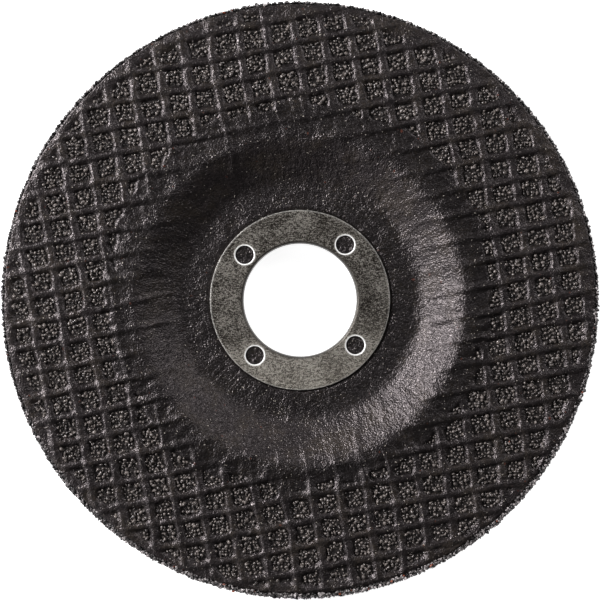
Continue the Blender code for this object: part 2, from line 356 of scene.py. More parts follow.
def run(points, pitch, outer_from, outer_pitch):
    """A section's line, cut into steps of one pitch near the axis and of another further out."""
    line = [points[0]]
    for a, b in zip(points, points[1:]):
        step = outer_pitch if min(a.x, b.x) >= outer_from - MERGE_DISTANCE else pitch
        count = max(1, math.ceil((b - a).length / step))
        line += [a.lerp(b, k / count) for k in range(1, count + 1)]
    return line


def front_line(inner, pitch, band_pitch):
    """The front face's section, from the ring out to the skin's edge."""
    floor_in = Vector((inner, HUB_FRONT))
    floor = Vector((DISH_FLOOR_RADIUS, HUB_FRONT))
    mouth = Vector((DISH_MOUTH_RADIUS, RIM_FRONT))
    edge = Vector((SKIN_EDGE_RADIUS, RIM_FRONT))
    corners = [floor_in, *bend(floor_in, floor, mouth, DISH_FLOOR_BEND)]
    corners += [*bend(floor, mouth, edge, DISH_MOUTH_BEND), Vector((BAND_FROM, RIM_FRONT)), edge]
    return run(corners, pitch, BAND_FROM, band_pitch)


def back_line(inner, pitch, band_pitch):
    """The back face's section, from the bore out to the skin's edge."""
    slope = math.atan2(RIM_FRONT - HUB_FRONT, DISH_MOUTH_RADIUS - DISH_FLOOR_RADIUS)
    miter = DISC_THICKNESS * math.tan(slope / 2)
    floor_in = Vector((inner, HUB_BACK))
    floor = Vector((DISH_FLOOR_RADIUS + miter, HUB_BACK))
    mouth = Vector((DISH_MOUTH_RADIUS + miter, RIM_BACK))
    edge = Vector((SKIN_EDGE_RADIUS, RIM_BACK))
    corners = [floor_in, *bend(floor_in, floor, mouth, BACK_FLOOR_BEND)]
    corners += [*bend(floor, mouth, edge, BACK_MOUTH_BEND), Vector((BAND_FROM, RIM_BACK)), edge]
    return run(corners, pitch, BAND_FROM, band_pitch)


def turned(outline, steps):
    """A closed turned shape from a closed section, spun as one sector and repeated."""
    sector = bmesh.new()
    ring = [sector.verts.new((point.x, 0.0, point.y)) for point in outline]
    edges = [sector.edges.new(pair) for pair in zip(ring, ring[1:] + ring[:1])]
    turn = math.tau / SECTORS
    bmesh.ops.spin(
        sector, geom=ring + edges, axis=(0, 0, 1), cent=(0, 0, 0), angle=turn, steps=steps // SECTORS,
        use_merge=False,
    )
    wedge = bpy.data.meshes.new("wedge")
    sector.to_mesh(wedge)
    sector.free()
    bm = bmesh.new()
    for _ in range(SECTORS):
        bm.from_mesh(wedge)
        wedge.transform(Matrix.Rotation(turn, 4, "Z"))
    bpy.data.meshes.remove(wedge)
    bmesh.ops.remove_doubles(bm, verts=bm.verts, dist=MERGE_DISTANCE)
    bmesh.ops.recalc_face_normals(bm, faces=bm.faces)
    return bm


def mesh_object(name, bm):
    mesh = bpy.data.meshes.new(name)
    bm.to_mesh(mesh)
    bm.free()
    obj = bpy.data.objects.new(name, mesh)
    bpy.context.scene.collection.objects.link(obj)
    mesh.shade_smooth()
    return obj


def points_of(mesh):
    points = np.empty(len(mesh.vertices) * 3, np.float32)
    mesh.vertices.foreach_get("co", points)
    return points.reshape(-1, 3).astype(float)


def set_points(mesh, points):
    mesh.vertices.foreach_set("co", points.astype(np.float32).ravel())
    mesh.update()


def skin(name, line, under_line, net, side, steps):
    """The resin-covered net on one face: a closed thin shell with its threads in relief."""
    edge = line[-1]
    lip = [
        edge + SKIN_EDGE_ROUND * Vector((math.sin(a), -side * (1 - math.cos(a))))
        for a in (math.radians(45), math.radians(90))
    ]
    under = [Vector((point.x, point.y - side * SKIN_DEPTH)) for point in under_line[::-1]]
    bm = turned(line + lip + under, steps)
    band = [
        vert_edge for vert_edge in bm.edges
        if all(
            abs(vert.co.z - edge.y) < MERGE_DISTANCE and vert.co.xy.length > BAND_FROM - MERGE_DISTANCE
            for vert in vert_edge.verts
        )
    ]
    bmesh.ops.subdivide_edges(bm, edges=band, cuts=1, use_grid_fill=True)
    obj = mesh_object(name, bm)
    mesh = obj.data
    points = points_of(mesh)
    x, y = points[:, 0], points[:, 1]
    radius = np.hypot(x, y)
    angle = np.arctan2(y, x)
    face = np.interp(radius, [point.x for point in line], [point.y for point in line])
    shown = 1 - smooth_step(side * (face - points[:, 2]) / (0.6 * SKIN_DEPTH))
    points[:, 2] += side * shown * (net.height(x, y) - SKIN_SETTLE)
    points[:, 2] = np.maximum(points[:, 2], HUB_BACK)
    wander = around_noise(angle, radius, 256, 1.0, net.seed + 9)
    wander += 0.6 * around_noise(angle, radius, 640, 1.0, net.seed + 10)
    near_edge = smooth_step((radius - SKIN_EDGE_RADIUS + SKIN_EDGE_REACH) / SKIN_EDGE_REACH)
    bare = max(side, 0) * SKIN_EDGE_BARE * np.clip(np.cos(angle - RIM_BARE_LIT_MIDDLE), 0, 1)
    grow = 1 + near_edge * (wander * SKIN_EDGE_WANDER - bare) / radius
    points[:, 0] *= grow
    points[:, 1] *= grow
    set_points(mesh, points)
    return obj


def grains(name, places, radii, seed, flatness, rusty_share, darkness):
    """Grit grains as one object: small uneven pebbles, each turned its own way.

    A few are rusty, and the higher the darkness, the fewer are pale.
    """
    bm = bmesh.new()
    bmesh.ops.create_icosphere(bm, subdivisions=1, radius=1.0)
    pebble = bpy.data.meshes.new("pebble")
    bm.to_mesh(pebble)
    bm.free()
    rng = np.random.default_rng(seed)
    shape = points_of(pebble)
    bm = bmesh.new()
    for place, radius in zip(places, radii):
        uneven = shape * rng.uniform(0.56, 1.4, (len(shape), 1))
        stretch = rng.uniform(0.62, 1.4, 3)
        turn = np.array(Euler(rng.uniform(0, math.tau, 3)).to_matrix())
        grain = (uneven * stretch) @ turn.T * radius
        grain[:, 2] *= flatness
        set_points(pebble, grain + place)
        bm.from_mesh(pebble)
    bpy.data.meshes.remove(pebble)
    obj = mesh_object(name, bm)
    shares = {"rust": rng.uniform(0, 1, len(places)) < rusty_share}
    shares["pale"] = rng.uniform(0, 1, len(places)) ** darkness
    for label, share in shares.items():
        attribute = obj.data.attributes.new(label, "FLOAT", "POINT")
        attribute.data.foreach_set("value", np.repeat(share, len(shape)).astype(np.float32))
    return obj


def face_grit(name, net, side, face, pitch, grain_radius, seed):
    """Grit that shows in one net's openings."""
    rng = np.random.default_rng(seed)
    reach = np.arange(-SKIN_EDGE_RADIUS, SKIN_EDGE_RADIUS, pitch)
    x, y = (grid.ravel() for grid in np.meshgrid(reach, reach))
    x = x + rng.uniform(-0.42, 0.42, x.size) * pitch
    y = y + rng.uniform(-0.42, 0.42, y.size) * pitch
    depth, share = net.inside(x, y)
    radius = np.hypot(x, y)
    luck = rng.uniform(0.2, 0.7, x.size)
    kept = (depth > 0.03 * MM) & (share > luck) & (radius < SKIN_EDGE_RADIUS - 0.4 * MM)
    x, y, share = x[kept], y[kept], share[kept]
    size = grain_radius * rng.uniform(0.5, 1.25, x.size)
    buried = rng.uniform(0.0, 1.0, x.size) * GRAIN_SINK
    lift = size * (0.1 + 0.6 * share) + 0.3 * MM * share - buried
    z = face + side * (net.height(x, y) - SKIN_SETTLE + lift)
    places = np.stack([x, y, z], 1)
    return grains(name, places, size, seed + 1, flatness=0.9, rusty_share=0.0005, darkness=0.5)


def rim_grit(seed):
    """Coarse grit that stands out of the rim between the two skins, and bare along the front's edge."""
    rng = np.random.default_rng(seed)
    places = []
    low = RIM_BACK + RIM_GRAIN_MARGIN
    high = RIM_FRONT - RIM_GRAIN_MARGIN
    rows = round((high - low) / RIM_GRAIN_PITCH)
    columns = round(math.tau * RIM_WALL_RADIUS / RIM_GRAIN_PITCH)
    for row in range(rows + 1):
        for column in range(columns):
            angle = (column + row % 2 / 2 + rng.uniform(-0.4, 0.4)) / columns * math.tau
            z = low + (high - low) * row / rows + rng.uniform(-0.35, 0.35) * RIM_GRAIN_PITCH
            z = min(max(z, low), high)
            out = RIM_WALL_RADIUS + rng.uniform(-0.1, 0.14) * MM
            places.append((out * math.cos(angle), out * math.sin(angle), z))
    columns *= RIM_BARE_ROWS
    for column in range(columns):
        angle = (column + rng.uniform(-0.4, 0.4)) / columns * math.tau
        out = RIM_WALL_RADIUS - rng.uniform(0.0, 1.0) * RIM_BARE_REACH
        if math.cos(angle - RIM_BARE_LIT_MIDDLE) > 0.2:
            z = RIM_FRONT - rng.uniform(0.2, 0.4) * MM
            places.append((out * math.cos(angle), out * math.sin(angle), z))
    size = RIM_GRAIN_RADIUS * rng.uniform(0.6, 1.15, len(places))
    places = np.array(places)
    # Painted light: towards that side more of the rim's grains are pale, as if that side were lit more
    painted_lit_side = np.clip(np.cos(np.arctan2(places[:, 1], places[:, 0]) - RIM_BARE_LIT_MIDDLE), 0, 1)
    rim_grains = grains(
        "rim_grit", places, size, seed + 1, flatness=1.0, rusty_share=0.012, darkness=4.0 - 1.5 * painted_lit_side
    )
    rim_grains.data.shade_flat()
    return rim_grains


def body():
    """The bonded grit between the skins: the rim's wall, the seat and the bore's wall."""
    front = front_line(FRONT_SKIN_INNER + 0.25 * MM, HIDDEN_PITCH, HIDDEN_PITCH)
    back = back_line(BACK_SKIN_INNER, HIDDEN_PITCH, HIDDEN_PITCH)
    seat = RING_FACE - RING_SHEET - SEAT_GAP
    inset = Vector((0.0, BODY_INSET))
    outline = [Vector((BACK_SKIN_INNER, seat)), Vector((front[0].x, seat))]
    outline += [point - inset for point in front]
    outline += [Vector((RIM_WALL_RADIUS, RIM_FRONT)) - inset, Vector((RIM_WALL_RADIUS, RIM_BACK)) + inset]
    outline += [point + inset for point in back[::-1]]
    return mesh_object("bonded_body", turned(outline, 240))


def hole_places():
    for k in range(HOLE_COUNT):
        angle = HOLE_ANGLE + k * math.tau / HOLE_COUNT
        yield Vector((HOLE_CIRCLE * math.cos(angle), HOLE_CIRCLE * math.sin(angle), 0.0))


def resin_pegs():
    """The resin that fills the ring's holes, with an uneven top."""
    bm = bmesh.new()
    radius = HOLE_RADIUS - PEG_PLAY
    for place in hole_places():
        middle = Matrix.Translation((place.x, place.y, (PEG_FOOT + PEG_TOP) / 2))
        made = bmesh.ops.create_cone(
            bm, cap_ends=True, segments=48, radius1=radius, radius2=radius, depth=PEG_TOP - PEG_FOOT,
            matrix=middle,
        )
        lids = {face for vert in made["verts"] for face in vert.link_faces if len(face.verts) > 4}
        top = [face for face in lids if face.calc_center_median().z > PEG_TOP - LEVEL_TOLERANCE]
        for depth in (0.12, 0.25, 0.25, 0.25, 0.25, 0.25, 0.25):
            bmesh.ops.inset_region(bm, faces=top, thickness=depth * MM, use_even_offset=True)
    for vert in bm.verts:
        if vert.co.z > PEG_TOP - LEVEL_TOLERANCE:
            x, y = np.array([vert.co.x]), np.array([vert.co.y])
            vert.co.z += PEG_LUMPS * float(smooth_noise(x, y, 0.45 * MM, 5)[0])
    return mesh_object("resin_pegs", bm)


def hole_bar():
    """A round bar with a flared head, which cuts one hole with a rounded edge."""
    low = RING_FACE - 2 * RING_SHEET
    flare = [
        Vector((
            HOLE_RADIUS + HOLE_FLARE * (1 - math.cos(a)),
            RING_FACE - HOLE_FLARE + HOLE_FLARE * math.sin(a),
        ))
        for a in np.radians([0, 22, 44, 66])
    ]
    head = Vector((flare[-1].x + 0.12 * MM, RING_FACE + 0.05 * MM))
    top = RING_FACE + RING_SHEET
    outline = [Vector((0.0, low)), Vector((HOLE_RADIUS, low)), *flare, head]
    outline += [Vector((head.x, top)), Vector((0.0, top))]
    bm = bmesh.new()
    ring = [bm.verts.new((point.x, 0.0, point.y)) for point in outline]
    edges = [bm.edges.new(pair) for pair in zip(ring, ring[1:])]
    bmesh.ops.spin(
        bm, geom=ring + edges, axis=(0, 0, 1), cent=(0, 0, 0), angle=math.tau, steps=64, use_merge=True,
    )
    bmesh.ops.remove_doubles(bm, verts=bm.verts, dist=0.0001 * MM)
    bmesh.ops.recalc_face_normals(bm, faces=bm.faces)
    return bm


def pressed_ring():
    """The steel ring: a flange with rounded edges that turns down into the bore's collar."""
    lip = 0.4 * MM
    edge = 0.07 * MM
    under = RING_FACE - RING_SHEET
    bore_lip = [
        Vector((BORE_RADIUS + lip * (1 - math.cos(a)), RING_FACE - lip * (1 - math.sin(a))))
        for a in np.radians(np.linspace(0, 90, 8))
    ]
    outer = [
        Vector((RING_RADIUS - edge * (1 - math.sin(a)), RING_FACE - edge * (1 - math.cos(a))))
        for a in np.radians(np.linspace(0, 90, 5))
    ]
    face = run([bore_lip[-1], outer[0]], 0.4 * MM, 0.0, 0.4 * MM)
    outline = bore_lip[:-1] + face + outer[1:]
    outline += [Vector((RING_RADIUS, under)), Vector((BORE_RADIUS + RING_SHEET, under))]
    outline += [Vector((BORE_RADIUS + RING_SHEET, COLLAR_END)), Vector((BORE_RADIUS, COLLAR_END))]
    obj = mesh_object("pressed_ring", turned(outline, 240))
    bars = bmesh.new()
    bar = hole_bar()
    bar_mesh = bpy.data.meshes.new("bar")
    bar.to_mesh(bar_mesh)
    bar.free()
    shape = points_of(bar_mesh)
    for place in hole_places():
        set_points(bar_mesh, shape + np.array(place))
        bars.from_mesh(bar_mesh)
    cutter = mesh_object("ring_holes", bars)
    cut = obj.modifiers.new("holes", "BOOLEAN")
    cut.operation = "DIFFERENCE"
    cut.solver = "EXACT"
    cut.object = cutter
    evaluated = obj.evaluated_get(bpy.context.evaluated_depsgraph_get())
    mesh = bpy.data.meshes.new_from_object(evaluated)
    obj.modifiers.clear()
    obj.data = mesh
    bpy.data.objects.remove(cutter)
    bpy.data.meshes.remove(bar_mesh)
    mesh.shade_smooth()
    mesh.set_sharp_from_angle(angle=math.radians(35))
    return obj


def flat_map(obj, side):
    """A map of one face as seen from above or below. What faces the other way goes in a corner."""
    mesh = obj.data
    layer = mesh.uv_layers.new(name="OFBake", do_init=False)
    corner_vertex = np.empty(len(mesh.loops), np.int32)
    mesh.loops.foreach_get("vertex_index", corner_vertex)
    start = np.empty(len(mesh.polygons), np.int32)
    mesh.polygons.foreach_get("loop_start", start)
    total = np.empty(len(mesh.polygons), np.int32)
    mesh.polygons.foreach_get("loop_total", total)
    normal = np.empty(len(mesh.polygons) * 3, np.float32)
    mesh.polygons.foreach_get("normal", normal)
    away = np.repeat(normal.reshape(-1, 3)[:, 2] * side < 0, total)
    flat = points_of(mesh)[corner_vertex][:, :2] / (2.02 * DISC_RADIUS)
    spread = np.where(away[:, None], 0.93 + flat * 0.12, 0.5 + flat)
    layer.uv.foreach_set("vector", spread.astype(np.float32).ravel())


def new_material(name):
    material = bpy.data.materials.new(name)
    material.use_nodes = True
    nodes = material.node_tree.nodes
    return material, nodes, material.node_tree.links, nodes["Principled BSDF"]


def noise_node(nodes, links, vector, size, detail=2.0, roughness=0.5, swirl=0.0):
    node = nodes.new("ShaderNodeTexNoise")
    node.inputs["Scale"].default_value = 1 / size
    node.inputs["Detail"].default_value = detail
    node.inputs["Roughness"].default_value = roughness
    node.inputs["Distortion"].default_value = swirl
    links.new(vector, node.inputs["Vector"])
    return node.outputs["Fac"]


def spread_node(nodes, links, value, low, high, to_low, to_high):
    node = nodes.new("ShaderNodeMapRange")
    node.inputs["From Min"].default_value = low
    node.inputs["From Max"].default_value = high
    node.inputs["To Min"].default_value = to_low
    node.inputs["To Max"].default_value = to_high
    links.new(value, node.inputs["Value"])
    return node.outputs["Result"]


def sum_node(nodes, links, a, b, weight):
    """a + weight * b"""
    node = nodes.new("ShaderNodeMath")
    node.operation = "MULTIPLY_ADD"
    links.new(b, node.inputs[0])
    node.inputs[1].default_value = weight
    links.new(a, node.inputs[2])
    return node.outputs[0]


def ramp_node(nodes, links, value, stops):
    node = nodes.new("ShaderNodeValToRGB")
    ramp = node.color_ramp
    while len(ramp.elements) < len(stops):
        ramp.elements.new(0.5)
    for element, (position, colour) in zip(ramp.elements, stops):
        element.position = position
        element.color = (*colour, 1.0)
    links.new(value, node.inputs["Fac"])
    return node.outputs["Color"]


def bump_node(nodes, links, height, distance):
    node = nodes.new("ShaderNodeBump")
    node.inputs["Distance"].default_value = distance
    node.inputs["Strength"].default_value = 1.0
    links.new(height, node.inputs["Height"])
    return node.outputs["Normal"]


def place_node(nodes, links, turn=0.0, stretch=(1.0, 1.0, 1.0)):
    """Object coordinates, turned about Z and stretched."""
    place = nodes.new("ShaderNodeTexCoord")
    mapping = nodes.new("ShaderNodeMapping")
    mapping.inputs["Rotation"].default_value = (0.0, 0.0, turn)
    mapping.inputs["Scale"].default_value = stretch
    links.new(place.outputs["Object"], mapping.inputs["Vector"])
    return mapping.outputs["Vector"]


def new_group(name, inputs, outputs):
    """An empty node group with named sockets, given as pairs of name and kind."""
    group = bpy.data.node_groups.new(name, "ShaderNodeTree")
    for label, kind in inputs:
        group.interface.new_socket(label, in_out="INPUT", socket_type=f"NodeSocket{kind}")
    for label, kind in outputs:
        group.interface.new_socket(label, in_out="OUTPUT", socket_type=f"NodeSocket{kind}")
    nodes = group.nodes
    return group, nodes, group.links, nodes.new("NodeGroupInput"), nodes.new("NodeGroupOutput")


def felt_group():
    """The fine surface of pressed resin, as values about 0.5, and its few rusty stains."""
    group, nodes, links, given, result = new_group(
        "felt", [("Place", "Vector")],
        [(label, "Float") for label in ("Wrinkles", "Grain", "Lumps", "Pits", "Cloud", "Stains")],
    )
    place = given.outputs["Place"]
    links.new(noise_node(nodes, links, place, 0.31 * MM, 1.0, 0.5, 0.2), result.inputs["Wrinkles"])
    links.new(noise_node(nodes, links, place, 0.24 * MM, 0.0), result.inputs["Grain"])
    links.new(noise_node(nodes, links, place, 1.7 * MM, 1.0, 0.5, 0.8), result.inputs["Lumps"])
    links.new(noise_node(nodes, links, place, 0.55 * MM, 2.0, 0.6), result.inputs["Pits"])
    links.new(noise_node(nodes, links, place, 5 * MM, 3.0), result.inputs["Cloud"])
    stains = noise_node(nodes, links, place, 1.1 * MM, 1.0)
    links.new(spread_node(nodes, links, stains, 0.77, 0.8, 0.0, 1.0), result.inputs["Stains"])
    return group


def group_node(nodes, links, group, vector):
    node = nodes.new("ShaderNodeGroup")
    node.node_tree = group
    links.new(vector, node.inputs["Place"])
    return node


def outward_place(nodes, links, squeeze):
    """A place that runs round the axis at one radius, squeezed outward, so that noise on it streaks."""
    place = nodes.new("ShaderNodeTexCoord")
    flat = nodes.new("ShaderNodeVectorMath")
    flat.operation = "MULTIPLY"
    flat.inputs[1].default_value = (1.0, 1.0, 0.0)
    links.new(place.outputs["Object"], flat.inputs[0])
    length = nodes.new("ShaderNodeVectorMath")
    length.operation = "LENGTH"
    links.new(flat.outputs["Vector"], length.inputs[0])
    unit = nodes.new("ShaderNodeVectorMath")
    unit.operation = "NORMALIZE"
    links.new(flat.outputs["Vector"], unit.inputs[0])
    circle = nodes.new("ShaderNodeVectorMath")
    circle.operation = "SCALE"
    circle.inputs["Scale"].default_value = PLEAT_RADIUS
    links.new(unit.outputs["Vector"], circle.inputs[0])
    height = nodes.new("ShaderNodeMath")
    height.operation = "MULTIPLY"
    height.inputs[1].default_value = squeeze
    links.new(length.outputs["Value"], height.inputs[0])
    lift = nodes.new("ShaderNodeCombineXYZ")
    links.new(height.outputs[0], lift.inputs["Z"])
    total = nodes.new("ShaderNodeVectorMath")
    total.operation = "ADD"
    links.new(circle.outputs["Vector"], total.inputs[0])
    links.new(lift.outputs["Vector"], total.inputs[1])
    return total.outputs["Vector"]


def radius_ramp(nodes, links, radius, stops):
    """A value that changes with the distance from the axis, from stops of millimetres and value."""
    share = spread_node(nodes, links, radius, 0.0, RAMP_RADIUS, 0.0, 1.0)
    return ramp_node(nodes, links, share, [(mm * MM / RAMP_RADIUS, (value,) * 3) for mm, value in stops])


def resin_material(felt):
    """Charcoal resin over glass threads: felted and wrinkled, dark, with a dull sheen, paler on the dish's
    slope as a painted sheen, and with painted glints.
    """
    material, nodes, links, shader = new_material("net_resin")
    surface = group_node(nodes, links, felt, place_node(nodes, links))
    streaks = noise_node(nodes, links, outward_place(nodes, links, 0.3), 0.8 * MM, 1.0)
    height = sum_node(nodes, links, surface.outputs["Wrinkles"], surface.outputs["Grain"], 0.4)
    height = sum_node(nodes, links, height, streaks, 0.6)
    height = sum_node(nodes, links, height, surface.outputs["Lumps"], 1.2)
    radius = axis_distance(nodes, links)
    rough_share = radius_ramp(nodes, links, radius, [
        (22.2, 0.9), (24.6, 1.0), (31.8, 1.0), (34.2, 0.62), (37.2, 0.62), (39.6, 0.75),
    ])
    height = math_node(nodes, links, "MULTIPLY", height, rough_share)
    links.new(bump_node(nodes, links, height, 0.16 * MM), shader.inputs["Normal"])
    tone = sum_node(nodes, links, surface.outputs["Pits"], surface.outputs["Cloud"], 0.4)
    # Painted sheen: the colour is paler on the dish's slope, 25 to 30 mm out, where the slope's highlight
    # lies; paler again from about 37 mm out
    slope_sheen_tone = radius_ramp(nodes, links, radius, [
        (21.6, 0.33), (25.2, 0.58), (30.0, 0.58), (32.4, 0.35), (36.6, 0.33), (39.6, 0.51),
    ])
    tone = sum_node(nodes, links, tone, slope_sheen_tone, 1.0)
    tone = spread_node(nodes, links, tone, 0.95, 1.5, 0.0, 1.0)
    shade = ramp_node(nodes, links, tone, [
        (0.2, (0.0012, 0.0009, 0.0009)), (0.5, (0.0068, 0.0053, 0.0055)), (0.8, (0.021, 0.0175, 0.0175)),
    ])
    browner = ramp_node(nodes, links, tone, [
        (0.2, (0.0012, 0.0009, 0.0006)), (0.5, (0.007, 0.0054, 0.0042)), (0.8, (0.022, 0.0175, 0.0145)),
    ])
    brown = spread_node(nodes, links, surface.outputs["Cloud"], 0.45, 0.6, 0.0, 1.0)
    shade = mix_node(nodes, links, brown, shade, browner)
    stain = ramp_node(nodes, links, surface.outputs["Lumps"], [
        (0.0, (0.05, 0.014, 0.008)), (1.0, (0.07, 0.02, 0.012)),
    ])
    stained = math_node(nodes, links, "MULTIPLY", surface.outputs["Stains"], 0.8)
    shade = mix_node(nodes, links, stained, shade, stain)
    # Painted glints: rare pale specks where fine noise is highest
    glint_noise = noise_node(nodes, links, place_node(nodes, links), 0.3 * MM, 0.0)
    light = ramp_node(nodes, links, glint_noise, [(0.0, (0.26, 0.23, 0.2)), (1.0, (0.3, 0.27, 0.24))])
    glint_share = spread_node(nodes, links, glint_noise, 0.8, 0.83, 0.0, 1.0)
    links.new(mix_node(nodes, links, glint_share, shade, light), shader.inputs["Base Color"])
    smoother = spread_node(nodes, links, slope_sheen_tone, 0.5, 0.56, 0.0, 0.02)
    rough = spread_node(nodes, links, surface.outputs["Pits"], 0.35, 0.65, 0.465, 0.28)
    rough = math_node(nodes, links, "SUBTRACT", rough, smoother)
    links.new(rough, shader.inputs["Roughness"])
    shader.inputs["Specular Tint"].default_value = (1.0, 0.885, 0.905, 1.0)
    return material


def grain_group():
    """Colour and fine surface of abrasive grains in resin: light where Pale is 1, rusty where Rust is."""
    group, nodes, links, given, result = new_group(
        "grains",
        [("Place", "Vector"), ("Dark", "Color"), ("Light", "Color"), ("Pale", "Float"), ("Rust", "Float")],
        [("Color", "Color"), ("Tone", "Float"), ("Height", "Float")],
    )
    tone = noise_node(nodes, links, given.outputs["Place"], 0.7 * MM, 2.0)
    fine = noise_node(nodes, links, given.outputs["Place"], 0.13 * MM, 2.0)
    share = spread_node(nodes, links, tone, 0.3, 0.65, 0.0, 1.6)
    share = math_node(nodes, links, "MULTIPLY", share, given.outputs["Pale"])
    plain = mix_node(nodes, links, share, given.outputs["Dark"], given.outputs["Light"])
    rust = ramp_node(nodes, links, fine, [(0.35, (0.09, 0.018, 0.01)), (0.65, (0.24, 0.065, 0.03))])
    links.new(mix_node(nodes, links, given.outputs["Rust"], plain, rust), result.inputs["Color"])
    links.new(tone, result.inputs["Tone"])
    links.new(fine, result.inputs["Height"])
    return group


def mix_node(nodes, links, share, a, b):
    node = nodes.new("ShaderNodeMix")
    node.data_type = "RGBA"
    for socket, value in ((node.inputs["Factor"], share), (node.inputs["A"], a), (node.inputs["B"], b)):
        links.new(value, socket)
    return node.outputs["Result"]


def grit_material(name, group, dark, light, rough, smooth, fineness):
    """Grains in dark resin, rusty where their own attribute says so."""
    material, nodes, links, shader = new_material(name)
    grain = group_node(nodes, links, group, place_node(nodes, links, 0.0, (fineness,) * 3))
    grain.inputs["Dark"].default_value = (*dark, 1.0)
    grain.inputs["Light"].default_value = (*light, 1.0)
    for label in ("Pale", "Rust"):
        share = nodes.new("ShaderNodeAttribute")
        share.attribute_name = label.lower()
        links.new(share.outputs["Fac"], grain.inputs[label])
    links.new(grain.outputs["Color"], shader.inputs["Base Color"])
    gloss = spread_node(nodes, links, grain.outputs["Tone"], 0.35, 0.65, rough, smooth)
    links.new(gloss, shader.inputs["Roughness"])
    links.new(bump_node(nodes, links, grain.outputs["Height"], 0.05 * MM), shader.inputs["Normal"])
    shader.inputs["Specular Tint"].default_value = (1.0, 0.95, 0.97, 1.0)
    return material


def hole_distance(nodes, links):
    """Distance from the middle of the nearest of the ring's four holes."""
    parts = nodes.new("ShaderNodeSeparateXYZ")
    links.new(place_node(nodes, links, -HOLE_ANGLE), parts.inputs["Vector"])
    sides = []
    for label in "XY":
        side = nodes.new("ShaderNodeMath")
        side.operation = "ABSOLUTE"
        links.new(parts.outputs[label], side.inputs[0])
        sides.append(side.outputs[0])
    along, across = (nodes.new("ShaderNodeMath") for _ in range(2))
    along.operation = "MAXIMUM"
    across.operation = "MINIMUM"
    for node in (along, across):
        links.new(sides[0], node.inputs[0])
        links.new(sides[1], node.inputs[1])
    offset = nodes.new("ShaderNodeMath")
    offset.operation = "SUBTRACT"
    offset.inputs[1].default_value = HOLE_CIRCLE
    links.new(along.outputs[0], offset.inputs[0])
    both = nodes.new("ShaderNodeCombineXYZ")
    links.new(offset.outputs[0], both.inputs["X"])
    links.new(across.outputs[0], both.inputs["Y"])
    length = nodes.new("ShaderNodeVectorMath")
    length.operation = "LENGTH"
    links.new(both.outputs["Vector"], length.inputs[0])
    return length.outputs["Value"]


def axis_distance(nodes, links):
    """Distance from the disc's axis."""
    length = nodes.new("ShaderNodeVectorMath")
    length.operation = "LENGTH"
    links.new(place_node(nodes, links, 0.0, (1.0, 1.0, 0.0)), length.inputs[0])
    return length.outputs["Value"]


def math_node(nodes, links, operation, a, b):
    node = nodes.new("ShaderNodeMath")
    node.operation = operation
    for socket, value in zip(node.inputs, (a, b)):
        if isinstance(value, float):
            socket.default_value = value
        else:
            links.new(value, socket)
    return node.outputs[0]


def steel_material(felt):
    """Dull pressed sheet steel: speckled, lighter towards one side as a painted reflection, with painted
    highlights on its burnished outer edge and the holes' rims, and painted shade near the bore.
    """
    material, nodes, links, shader = new_material("ring_steel")
    place = place_node(nodes, links)
    speck = noise_node(nodes, links, place, 0.21 * MM, 2.0, 0.8)
    dash = noise_node(nodes, links, place_node(nodes, links, 0.0, (0.3, 1.0, 1.0)), 0.19 * MM, 1.0, 0.6)
    surface = group_node(nodes, links, felt, place)
    spots = sum_node(nodes, links, sum_node(nodes, links, speck, dash, 0.45), surface.outputs["Cloud"], 0.36)
    spots = spread_node(nodes, links, spots, 0.72, 1.08, 0.0, 1.0)
    # Painted reflection: the steel is lighter towards -Y, turned by 8 degrees, as if that side caught more
    # light
    side = nodes.new("ShaderNodeSeparateXYZ")
    links.new(place_node(nodes, links, math.radians(-8)), side.inputs["Vector"])
    painted_reflection_side = spread_node(nodes, links, side.outputs["Y"], -4 * MM, -15 * MM, 0.0, 1.0)
    painted_reflection_side = sum_node(nodes, links, painted_reflection_side, surface.outputs["Cloud"], 0.25)
    dull = ramp_node(nodes, links, spots, [
        (0.25, (0.012, 0.0095, 0.008)), (0.45, (0.046, 0.041, 0.036)), (0.6, (0.108, 0.098, 0.089)),
        (0.82, (0.32, 0.3, 0.272)),
    ])
    bright = ramp_node(nodes, links, spots, [
        (0.2, (0.08, 0.071, 0.06)), (0.5, (0.255, 0.235, 0.206)), (0.8, (0.53, 0.494, 0.442)),
    ])
    shade = mix_node(nodes, links, painted_reflection_side, dull, bright)
    hole = hole_distance(nodes, links)
    # Painted highlights: a near-white, less metallic colour on the holes' rims and a faint line at the outer
    # edge, where the burnished edges catch light
    near_hole = spread_node(nodes, links, hole, HOLE_RADIUS + 0.14 * MM, HOLE_RADIUS + 0.38 * MM, 1.0, 0.0)
    halo = spread_node(nodes, links, hole, HOLE_RADIUS, HOLE_RADIUS + 0.9 * MM, 0.5, 0.0)
    shade = mix_node(nodes, links, halo, shade, bright)
    radius = axis_distance(nodes, links)
    near_rim = spread_node(nodes, links, radius, RING_RADIUS - 0.34 * MM, RING_RADIUS - 0.12 * MM, 0.0, 0.2)
    near_bore = spread_node(nodes, links, radius, BORE_RADIUS + 0.15 * MM, BORE_RADIUS + 0.6 * MM, 0.95, 0.0)
    burnish_highlight = math_node(nodes, links, "MAXIMUM", near_hole, near_rim)
    painted_edge_highlight = ramp_node(nodes, links, burnish_highlight, [(0.0, (0.8, 0.78, 0.75)), (1.0, (0.86, 0.85, 0.84))])
    shade = mix_node(nodes, links, burnish_highlight, shade, painted_edge_highlight)
    shadow = ramp_node(nodes, links, near_bore, [(0.0, (0.1, 0.09, 0.08)), (1.0, (0.06, 0.055, 0.05))])
    links.new(mix_node(nodes, links, near_bore, shade, shadow), shader.inputs["Base Color"])
    links.new(spread_node(nodes, links, burnish_highlight, 0.0, 1.0, 1.0, 0.35), shader.inputs["Metallic"])
    links.new(spread_node(nodes, links, spots, 0.0, 1.0, 0.52, 0.4), shader.inputs["Roughness"])
    links.new(bump_node(nodes, links, spots, 0.03 * MM), shader.inputs["Normal"])
    return material


def wear(obj, material, replaced):
    obj.data.materials.clear()
    obj.data.materials.append(material)
    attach(obj, "root")
    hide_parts(replaced)


